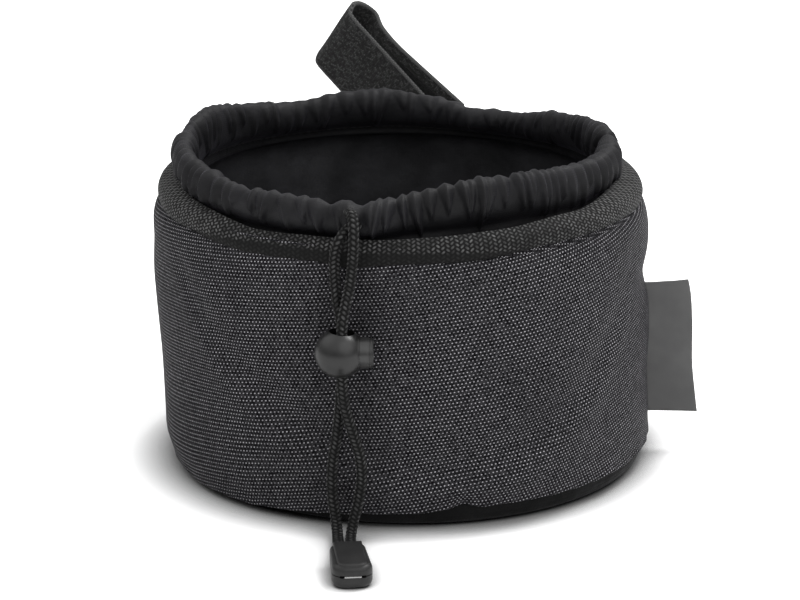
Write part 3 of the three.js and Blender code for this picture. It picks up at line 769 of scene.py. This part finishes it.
def makeLoop(finish):  # the drawstring inside the hem
    start, end = [math.asin(string[key] / collar["hemRadius"]) for key in ("hemFrom", "hemTo")]
    turn = np.linspace(0, 2 * math.pi - (start - end), 320)
    angle = start - math.pi / 2 + turn
    low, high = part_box("drawstring_loop")[0].z / mm + string["hemRise"], string["hemTop"]
    lift, lean = collarEdge(angle)
    height = np.linspace(low, high, len(turn)) + lift * 0.5
    path = toPoints(angle, collar["hemRadius"] - 0.4 + lean, height, -slouch)
    path[0] = np.array(cordRoutes["cord_upper_left"][0]) + string["start"]
    path[-1] = np.array(cordRoutes["cord_upper_right"][0]) + string["start"]
    piece = tubeAlong("drawstring_in_hem", evenly(path, 1.2), finish, 12, string["diameter"] - 0.2)
    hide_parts("drawstring_loop")
    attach(piece, "bag")


# Ball cord lock with a sprung button
lock = {
    "middle": (*string["start"][:2], 69.5), "radius": 8.9, "neckAngle": 45, "collarReach": 6.9, "lip": 0.15,
    "bore": 5.65, "boreEnd": -4.4, "pocket": ((-5.4, 4.9), (-7.1, 2.9)),  # for the plunger and the spring
    "holeRadius": 4.45, "holeOffset": 0.7, "holeTurn": 0.04, "cutLength": 30,
    "buttonRadius": 5.5, "buttonReach": 11.8, "buttonEnd": -2.7, "ridge": 0.3, "tipEdge": 0.9,
    "slotHalf": 4.45, "slotFrom": -1.6, "slotTo": 5.4,
}


def plasticFinish(name, level, rough, gloss):
    plastic = newFinish(name, Specular_IOR_Level=gloss)
    speckle = plastic.noise(900, 3)
    wear = plastic.noise(120, 4)
    plastic.feed(
        Base_Color=plastic.mix(wear.step(0.35, 0.7), grey(level), grey(level * 1.35)),
        Roughness=rough + speckle * 0.12 + wear * 0.06,
        Normal=plastic.bump(speckle, 0.03 * mm, 0.35))
    return plastic


def selectWhere(piece, test, kind="VERT"):  # selects what lies where the test says, in edit mode
    bpy.ops.mesh.select_mode(type=kind)
    bpy.ops.mesh.select_all(action="DESELECT")
    shape = bmesh.from_edit_mesh(piece.data)
    parts = {"VERT": shape.verts, "EDGE": shape.edges, "FACE": shape.faces}[kind]
    for part in parts:
        spots = [part.co] if kind == "VERT" else [corner.co for corner in part.verts]
        part.select_set(all(test(spot / mm) for spot in spots))
    shape.select_flush_mode()
    bmesh.update_edit_mesh(piece.data)


def startPiece(name):
    piece = bpy.context.object
    piece.name = name
    piece.data.name = name
    bpy.ops.object.mode_set(mode="EDIT")
    return piece


def cutWith(piece, tool):  # boolean cut, tool removed
    cutter = piece.modifiers.new("cut", "BOOLEAN")
    cutter.object = tool
    cutter.solver = "EXACT"
    bpy.ops.object.select_all(action="DESELECT")
    bpy.context.view_layer.objects.active = piece
    piece.select_set(True)
    bpy.ops.object.modifier_apply(modifier="cut")
    bpy.data.objects.remove(tool)


def settle(piece, finish, angle=32):  # place into the mesh, smooth faces, finish
    bpy.ops.object.select_all(action="DESELECT")
    bpy.context.view_layer.objects.active = piece
    piece.select_set(True)
    bpy.ops.object.transform_apply(location=True, rotation=True, scale=True)
    bpy.ops.object.shade_smooth_by_angle(angle=math.radians(angle))
    piece.data.materials.clear()
    piece.data.materials.append(finish.owner)


def slideRing(shift, scale=1.0):  # extrudes the selected ring along X and scales it
    bpy.ops.mesh.extrude_region_move(TRANSFORM_OT_translate={"value": (shift * mm, 0, 0)})
    if scale != 1:
        bpy.ops.transform.resize(value=(1, scale, scale), center_override=(0, 0, 0))


def makeLockBody(finish):
    middle = np.array(lock["middle"]) * mm
    bpy.ops.mesh.primitive_uv_sphere_add(
        segments=72, ring_count=36, radius=lock["radius"] * mm, location=(0, 0, 0),
        rotation=(0, math.pi / 2, 0))
    bpy.ops.object.transform_apply(rotation=True)
    ball = startPiece("lock_ball")
    cap = lock["radius"] * math.cos(math.radians(lock["neckAngle"]))
    neck = lock["radius"] * math.sin(math.radians(lock["neckAngle"]))
    selectWhere(ball, lambda spot: spot.x > cap - 0.05, "FACE")
    bpy.ops.mesh.delete(type="FACE")
    selectWhere(ball, lambda spot: abs(spot.x - cap) < 0.1, "EDGE")
    reach, lip = lock["collarReach"] - cap, lock["lip"]
    slideRing(reach - lip)
    slideRing(lip, 1 - lip / neck)
    slideRing(0, (lock["bore"] + lip) / (neck - lip))
    slideRing(-lip, lock["bore"] / (lock["bore"] + lip))
    slideRing(lock["boreEnd"] - lock["collarReach"] + lip)
    at, size = lock["boreEnd"], lock["bore"]
    for deep, narrow in lock["pocket"]:
        slideRing(deep - at, narrow / size)
        at, size = deep, narrow
    bpy.ops.mesh.edge_face_add()
    bpy.ops.mesh.select_all(action="SELECT")
    bpy.ops.mesh.normals_make_consistent(inside=False)
    bpy.ops.object.mode_set(mode="OBJECT")
    bpy.ops.mesh.primitive_cylinder_add(
        vertices=64, radius=lock["holeRadius"] * mm, depth=lock["cutLength"] * mm,
        location=(lock["holeOffset"] * mm, 0, 0), rotation=(0, 0, lock["holeTurn"]))
    cutWith(ball, bpy.context.object)
    ball.location = middle
    settle(ball, finish)
    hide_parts("cord_lock_body")
    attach(ball, "cord_lock")
    return ball


def makeLockButton(finish):
    size, ridge = lock["buttonRadius"], lock["ridge"]
    start, end = lock["buttonEnd"], lock["buttonReach"] - 1.6
    bpy.ops.mesh.primitive_cylinder_add(
        vertices=72, radius=size * mm, depth=(end - start) * mm, location=((start + end) / 2 * mm, 0, 0),
        rotation=(0, math.pi / 2, 0))
    bpy.ops.object.transform_apply(location=True, rotation=True)
    button = startPiece("lock_button")
    selectWhere(button, lambda spot: spot.x > end - 0.01, "FACE")
    narrow = 1 - ridge / size
    for shift, scale in ((0.12, narrow), (0.3, 1), (0.12, 1 / narrow), (0.36, 1),
                         (0.12, narrow), (0.3, 1), (0.12, 1 / narrow), (0.16, 0.955)):
        slideRing(shift, scale)
    bpy.ops.mesh.inset(thickness=0.9 * mm)
    bpy.ops.transform.translate(value=(-0.18 * mm, 0, 0))
    selectWhere(button, lambda spot: spot.x < start + 0.01, "EDGE")
    bpy.ops.mesh.bevel(offset=lock["tipEdge"] * mm, segments=3)
    bpy.ops.object.mode_set(mode="OBJECT")
    bpy.ops.mesh.primitive_cube_add(size=1, location=((lock["slotFrom"] + lock["slotTo"]) / 2 * mm, 0, 0))
    tool = bpy.context.object
    tool.scale = ((lock["slotTo"] - lock["slotFrom"]) * mm, 2 * lock["slotHalf"] * mm, lock["cutLength"] * mm)
    cutWith(button, tool)
    button.location = np.array(lock["middle"]) * mm
    settle(button, finish)
    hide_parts("cord_lock_button")
    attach(button, "lock_button")
    return button


# Cord end: a base and a cover that hold both strands
cordEnd = {
    "place": (-22.9, -122.0026, 0), "turn": 5.7, "length": 24.5, "front": 14.6, "height": 9, "plate": 0.7,
    "shoulders": ((2.4, 12.6), (0, 9.4)),  # distance from the neck, and the width there
    "gap": 0.15, "round": 3.6, "nose": 5.2, "slotWidth": 9, "slotHeight": 0.9, "slotDepth": 3,
    "channel": 4.45, "channelDepth": 13, "channelRoom": 0.3, "slotHighlight": (5.8, 2.2, 0.5),
    "plateSize": (10.2, 22.9), "plateBack": 0.9, "plateNose": 3.4, "plateEdge": 0.9,
}


def box(name, size, place):
    bpy.ops.mesh.primitive_cube_add(size=1, location=np.array(place) * mm)
    bpy.context.object.scale = np.array(size) * mm
    bpy.ops.object.transform_apply(location=True, scale=True)
    return startPiece(name)


def joinTo(piece, other):
    bpy.ops.object.select_all(action="DESELECT")
    other.select_set(True)
    piece.select_set(True)
    bpy.context.view_layer.objects.active = piece
    bpy.ops.object.join()


def endShape(name):  # the whole rounded body, before it is parted
    e = cordEnd
    tall = e["height"] - e["plate"]
    piece = box(name, (e["front"], e["length"], tall), (0, -e["length"] / 2, tall / 2))
    for back, width in e["shoulders"]:
        if back > 0:
            bpy.ops.mesh.select_all(action="SELECT")
            bpy.ops.mesh.bisect(plane_co=(0, -back * mm, 0), plane_no=(0, 1, 0))
        selectWhere(piece, lambda spot: abs(spot.y + back) < 0.01)
        bpy.ops.transform.resize(value=(width / e["front"], 1, 1), center_override=(0, 0, 0))
    selectWhere(piece, lambda spot: spot.y < 0.01 - e["length"], "EDGE")
    shape = bmesh.from_edit_mesh(piece.data)
    for edge in shape.edges:
        edge.select_set(edge.select and abs(edge.verts[0].co.z - edge.verts[1].co.z) > mm)
    bpy.ops.mesh.bevel(offset=e["nose"] * mm, segments=8)
    bpy.ops.object.mode_set(mode="OBJECT")
    soft = piece.modifiers.new("soft", "BEVEL")
    soft.width = e["round"] * mm
    soft.segments = 8
    soft.profile = 0.52
    soft.limit_method = "ANGLE"
    soft.angle_limit = math.radians(50)
    bpy.ops.object.modifier_apply(modifier="soft")
    return piece


def endPlate():  # raised plate on the cover, rounded at the nose
    e = cordEnd
    wide, long = e["plateSize"]
    low = e["height"] - e["plate"] - 1
    plate = box(
        "plate", (wide, long, e["height"] - low), (0, -long / 2 - e["plateBack"], (e["height"] + low) / 2))
    for side in (-1, 1):
        selectWhere(plate, lambda spot: spot.y < -long and spot.x * side > 0, "EDGE")
        bpy.ops.mesh.bevel(offset=e["plateNose"] * mm, segments=6)
    selectWhere(plate, lambda spot: spot.z > e["height"] - 0.01, "EDGE")
    bpy.ops.mesh.bevel(offset=e["plateEdge"] * mm, segments=3)
    bpy.ops.object.mode_set(mode="OBJECT")
    return plate


def makeCordEnd(finish, highlightFinish):
    e = cordEnd
    halves = []
    for name, node, part, above in (
            ("cord_end_lower", "cord_end_base", e["height"] / 2 - e["gap"], True),
            ("cord_end_upper", "cord_end_cover", e["height"] / 2 + e["gap"], False)):
        half = endShape(name)
        bpy.ops.object.mode_set(mode="EDIT")
        bpy.ops.mesh.select_all(action="SELECT")
        bpy.ops.mesh.bisect(
            plane_co=(0, 0, part * mm), plane_no=(0, 0, 1), use_fill=True,
            clear_outer=above, clear_inner=not above)
        bpy.ops.object.mode_set(mode="OBJECT")
        tall = string["diameter"] / 2 + e["channelRoom"]
        middle = e["height"] / 2
        for at, size in (
                ((0, e["length"] / 2 - e["channelDepth"], middle), (2 * e["channel"], e["length"], 2 * tall)),
                ((0, e["slotDepth"] / 2 - e["length"] - 0.5, middle),
                 (e["slotWidth"], e["slotDepth"] + 1, e["slotHeight"]))):
            bpy.ops.mesh.primitive_cube_add(size=1, location=np.array(at) * mm)
            tool = bpy.context.object
            tool.scale = np.array(size) * mm
            cutWith(half, tool)
        if not above:
            joinTo(half, endPlate())
        turn = math.radians(e["turn"])
        half.location = np.array(e["place"]) * mm
        half.rotation_euler = (0, 0, turn)
        settle(half, finish, 28)
        if above:  # painted highlight: a pale strip in the slot stands in for the bright line of light across it
            place = (0, e["slotHighlight"][1] / 2 - e["length"] + 0.2, middle - 0.1)
            slotHighlight = box("slotHighlight", e["slotHighlight"], place)
            bpy.ops.object.mode_set(mode="OBJECT")
            slotHighlight.location = np.array(e["place"]) * mm
            slotHighlight.rotation_euler = (0, 0, turn)
            settle(slotHighlight, highlightFinish)
            joinTo(half, slotHighlight)
        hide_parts(node)
        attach(half, "bag")
        halves.append(half)
    return halves


plastic = plasticFinish("lock_plastic", 0.009, 0.24, 0.65)
cordFinish = tapeFinish("braided_cord", 0.006, 0.1, 0.2, 0.14)
lockPieces = [makeLockBody(plastic), makeLockButton(plasticFinish("button_plastic", 0.022, 0.24, 0.8))]
endPieces = makeCordEnd(
    # the pale finish is a painted highlight for the slot
    plasticFinish("cord_end_plastic", 0.022, 0.34, 0.4), plasticFinish("slot_highlight_plastic", 0.5, 0.4, 0.4))
makeCords(cordFinish)
makeLoop(cordFinish)
print("drawstring, lock and cord end made")


# Hanging strap: webbing folded back on itself
strap = {
    "angle": 26, "out": 92.3, "width": 27, "thickness": 1.5, "root": 18, "rootGap": 0.3, "leg": 88.4,
    "tail": 54, "fold": 12.5, "tailOut": 4.4, "flat": -23.7, "at": (-72.5, 0, 128.7),
    "foldTilt": 51.9, "legTilt": 47.9, "tailTilt": 53.9, "split": -46, "pitch": 0.75,
    "flare": 0.25, "slack": 2.2, "tailShift": 2.2, "unrollFrom": 1.7, "unrollTo": 10.5,
}


def strapPoint(out, along, across, tilt):  # from the strap's own directions to the bag's frame
    lean = math.radians(strap["foldTilt"])
    tilt = np.radians(tilt)
    x = strap["at"][0] - along * np.sin(tilt) + across * math.cos(lean)
    z = strap["at"][2] + along * np.cos(tilt) + across * math.sin(lean)
    turn = -math.radians(strap["angle"])
    y = strap["out"] + out + 0 * x
    east, north = math.cos(turn), math.sin(turn)
    return np.stack([-slouch + x * east - y * north, x * north + y * east, z], axis=-1)


def webbingFinish():
    cloth = newFinish("strap_webbing", Sheen_Weight=0.03, Sheen_Roughness=0.5, Specular_IOR_Level=0.14)
    u, v = cloth.uv()
    shift = (v.floor() * 0.5).fract()
    column = (u + shift).floor()
    across = ((u + shift).fract() - 0.5) * 2.0
    up = (v.fract() - 0.5) * 2.0
    knots = (1 - across * across) * (1 - up * up * up * up)
    chance = cloth.node("ShaderNodeTexWhiteNoise", {"noise_dimensions": "2D"}, {
        "Vector": cloth.node("ShaderNodeCombineXYZ", {}, [column, v.floor(), 0.0])})
    edge = u.math("ABSOLUTE").step(16.4, 17)
    pale = knots * (chance * chance * 0.8 + 0.2) + edge * (knots * 0.8 + 0.3)
    cloth.feed(
        Base_Color=cloth.mix(pale, grey(0.012), grey(0.12)),
        Roughness=0.8 - knots * 0.12,
        Normal=cloth.bump(knots + edge * 0.5, 0.2 * mm, 0.8))
    return cloth


def makeBand(name, line, finish):  # webbing along (out, along, tilt) points of its middle
    line = evenly(np.array(line, float), 0.8)
    half, thick = strap["width"] / 2, strap["thickness"]
    step = np.gradient(line[:, :2], axis=0)
    step /= np.linalg.norm(step, axis=1)[:, None]
    normal = np.column_stack([step[:, 1], -step[:, 0]])
    corner = thick * 0.42
    side = np.concatenate([np.linspace(-half + corner, half - corner, 25), np.full(3, half),
                           np.linspace(half - corner, -half + corner, 25), np.full(3, -half)])
    lift = np.concatenate([np.full(25, thick / 2), [corner / 2, 0, -corner / 2], np.full(25, -thick / 2),
                           [-corner / 2, 0, corner / 2]])
    out = line[:, 0:1] + normal[:, 0:1] * lift
    along = line[:, 1:2] + normal[:, 1:2] * lift
    loose = smooth(side[None, :], -half, half)  # the fold is slacker at its right end
    along = np.where(along > 0, along * (1 + strap["flare"] * loose), along)
    out = out + strap["slack"] * loose * smooth(out, 2, strap["fold"] - 1) * smooth(along, -9, 0)
    shift = strap["tailShift"] * smooth(line[:, 0:1], 2, strap["tailOut"])
    grid = strapPoint(out, along, side[None, :] + shift, line[:, 2:3])
    across = np.append(side, side[0]) / strap["pitch"]
    return loft(name, grid, across, (lengths(line) + line[0, 1]) / strap["pitch"], finish, caps=True)


def makeStrap(finish):
    s = strap
    mid = s["thickness"] / 2
    rest, lean, back = s["legTilt"], s["tailTilt"], s["fold"] / 2
    bottom = -s["leg"] - s["rootGap"] - s["root"]
    lower = [(mid, bottom, rest), (mid, s["split"], rest)]
    radius = back - mid
    turns = np.radians(np.linspace(180, 0, 13))
    bend = [
        (back + radius * math.cos(t), radius * math.sin(t), rest + (lean - rest) * (1 - t / math.pi))
        for t in turns]
    tail = s["tailOut"] + mid
    upper = [(mid, s["split"], rest), (mid, -8, rest), *bend, (s["fold"] - mid - 0.5, -2, lean),
             (s["fold"] - 3.9, -7, lean), (tail + 1.3, -13, lean), (tail + 0.2, -19, lean),
             (tail, s["flat"] - 1, lean), (tail, -s["tail"], lean)]
    piece = makeBand("strap_lower", lower, finish)
    legWay = strapPoint(mid, 10.0, 0.0, rest) - strapPoint(mid, 0.0, 0.0, rest)
    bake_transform(piece)
    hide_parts("strap_root")
    line = curveThrough(upper, 6)
    last = int(np.argmax((line[:, 0] > back) & (line[:, 1] < -0.1)))  # where the fold ends
    piece = makeBand("strap_upper", line[:last + 1], finish)
    first, final = [strapPoint(s[key], 0.0, 0.0, rest) * mm for key in ("unrollFrom", "unrollTo")]
    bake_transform(piece)
    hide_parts("strap_leg", "strap_fold")
    piece = makeBand("strap_flap", line[last:], finish)
    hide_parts("strap_tail")
    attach(piece, "strap_end")


makeStrap(webbingFinish())
print("strap made")


# Hook and loop patches between the strap's layers
def fleeceFinish(name, scale, depth):
    cloth = newFinish(name, Specular_IOR_Level=0.25)
    pile = cloth.noise(scale, 4, 0.7)
    cloth.feed(
        Base_Color=cloth.mix(pile.step(0.35, 0.7), grey(0.008), grey(0.035)),
        Roughness=0.8 + pile * 0.15,
        Normal=cloth.bump(pile, depth * mm, 1.0))
    return cloth


def dressNode(name, finish):
    nodes[name].data.materials.clear()
    nodes[name].data.materials.append(finish.owner)


dressNode("strap_loop_patch", fleeceFinish("loop_pile", 1400, 0.5))
dressNode("strap_hook_patch", fleeceFinish("hook_pile", 2200, 0.6))


def boardFinish():
    board = newFinish("base_board", Specular_IOR_Level=0.4)
    fibre = board.noise(350, 4)
    board.feed(
        Base_Color=board.mix(fibre, grey(0.07, 0.08), grey(0.1, 0.08)),
        Roughness=0.7 + fibre * 0.2,
        Normal=board.bump(fibre, 0.05 * mm, 0.4))
    return board


def steelFinish():
    steel = newFinish("spring_steel", Metallic=1.0)
    drawn = steel.noise(800, 2)
    steel.feed(
        Base_Color=steel.mix(drawn, grey(0.5), grey(0.65)),
        Roughness=0.22 + drawn * 0.15)
    return steel


dressNode("base_board", boardFinish())


# Spring behind the plunger
spring = {"wire": 0.5, "turns": 2.5, "radius": 2, "start": -6.55, "end": -3.25, "travel": 2.4}


def makeSpring(finish):
    s = spring
    turn = np.linspace(0, 2 * math.pi * s["turns"], 120)
    x = np.linspace(s["start"], s["end"], len(turn))
    path = np.column_stack([x, s["radius"] * np.cos(turn), s["radius"] * np.sin(turn)]) + lock["middle"]
    piece = tubeAlong("lock_spring", path, finish, 10, s["wire"])
    seat = lock["pocket"][-1][0]
    anchor = (np.array(lock["middle"]) + [seat, 0, 0]) * mm
    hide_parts("cord_lock_spring")
    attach(piece, "cord_lock")
    1 - s["travel"] / (lock["buttonEnd"] - seat)
    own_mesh(piece)


makeSpring(steelFinish())
print("small pieces made")


# Side tab: satin ribbon folded and sewn into the side seam
tab = {
    "bottom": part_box("side_label")[0].z / mm, "height": 50.6, "width": 16.4, "thickness": 0.9, "rows": 40,
    "outerLean": 2.4, "wave": 0.9,
}


def tabFinish():
    ribbon = newFinish("tab_ribbon", Sheen_Weight=0.04, Specular_IOR_Level=0.2)
    _, v = ribbon.uv()
    threads = (v * 3.2).fract() - 0.5
    ribs = 1 - threads * threads * 4.0
    shade = ribbon.noise(55, 3).step(0.3, 0.7, 0.0, 1.0)
    ribbon.feed(
        Base_Color=ribbon.mix(shade, grey(0.13), grey(0.165)),
        Roughness=0.5 + ribs * 0.1,
        Normal=ribbon.bump(ribs + ribbon.noise(700, 2) * 0.4, 0.05 * mm, 0.5))
    return ribbon


def makeTab():
    half = tab["thickness"] / 2
    ends = arc(0, 0, half, half, 90, -90, 6)
    face = np.linspace(0, 1, 16)
    rows = []
    heights = np.linspace(0, 1, tab["rows"])
    for share in heights:
        z = tab["bottom"] + tab["height"] * share
        seam = float(slouchAt(z) + wallRadius(z) + wallDents(np.array(0.0), z)) - 0.6
        width = tab["width"] + tab["outerLean"] * (1 - share) ** 1.6
        x = np.concatenate([face * width, width + ends[:, 0], face[::-1] * width])
        y = np.concatenate([np.full(16, half), ends[:, 1], np.full(16, -half)])
        out = x / width
        y = y - tab["wave"] * out ** 1.5 * math.sin(2.2 + 4.4 * share) - 0.5 * out * math.sin(6 * share)
        top = 1.2 * out ** 2 * (share - 0.1)
        rows.append(np.column_stack([seam + x, y, z + top]))
    grid = np.array(rows)
    across = np.linspace(0, 40, grid.shape[1] + 1)
    piece = loft("side_tab", grid, across, heights * tab["height"], tabFinish(), caps=True)
    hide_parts("side_label")
    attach(piece, "bag")


makeTab()
print("side tab made")


# Stitches round the inside of the collar
stitch = {"count": 168, "length": 2.3, "thread": 0.24, "radius": 83.2, "height": 103.6}


def threadFinish():
    thread = newFinish("sewing_thread", Specular_IOR_Level=0.3)
    twist = thread.noise(2600, 2)
    thread.feed(
        Base_Color=thread.mix(twist, grey(0.01), grey(0.05)),
        Roughness=0.6 + twist * 0.2)
    return thread


def makeStitches(finish):
    s = stitch
    turn = np.linspace(0, 2 * math.pi, 6, endpoint=False)
    made = []
    for angle in np.linspace(0, 2 * math.pi, s["count"], endpoint=False):
        along = np.array([-0.5, -0.36, 0.36, 0.5]) * s["length"] / s["radius"]
        thick = np.array([0.25, 1, 1, 0.25])[:, None] * s["thread"]
        at = (angle + along)[:, None]
        r, z = collarPlace(at, s["radius"] + thick * np.cos(turn), s["height"] + thick * np.sin(turn))
        grid = toPoints(at, r, z, -slouch)
        made.append(loft("hem_stitches", grid, np.zeros(7), np.zeros(4), finish, caps=True))
    bpy.ops.object.select_all(action="DESELECT")
    for piece in made:
        piece.select_set(True)
    bpy.context.view_layer.objects.active = made[0]
    bpy.ops.object.join()
    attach(made[0], "bag")


makeStitches(threadFinish())
print("stitches made")
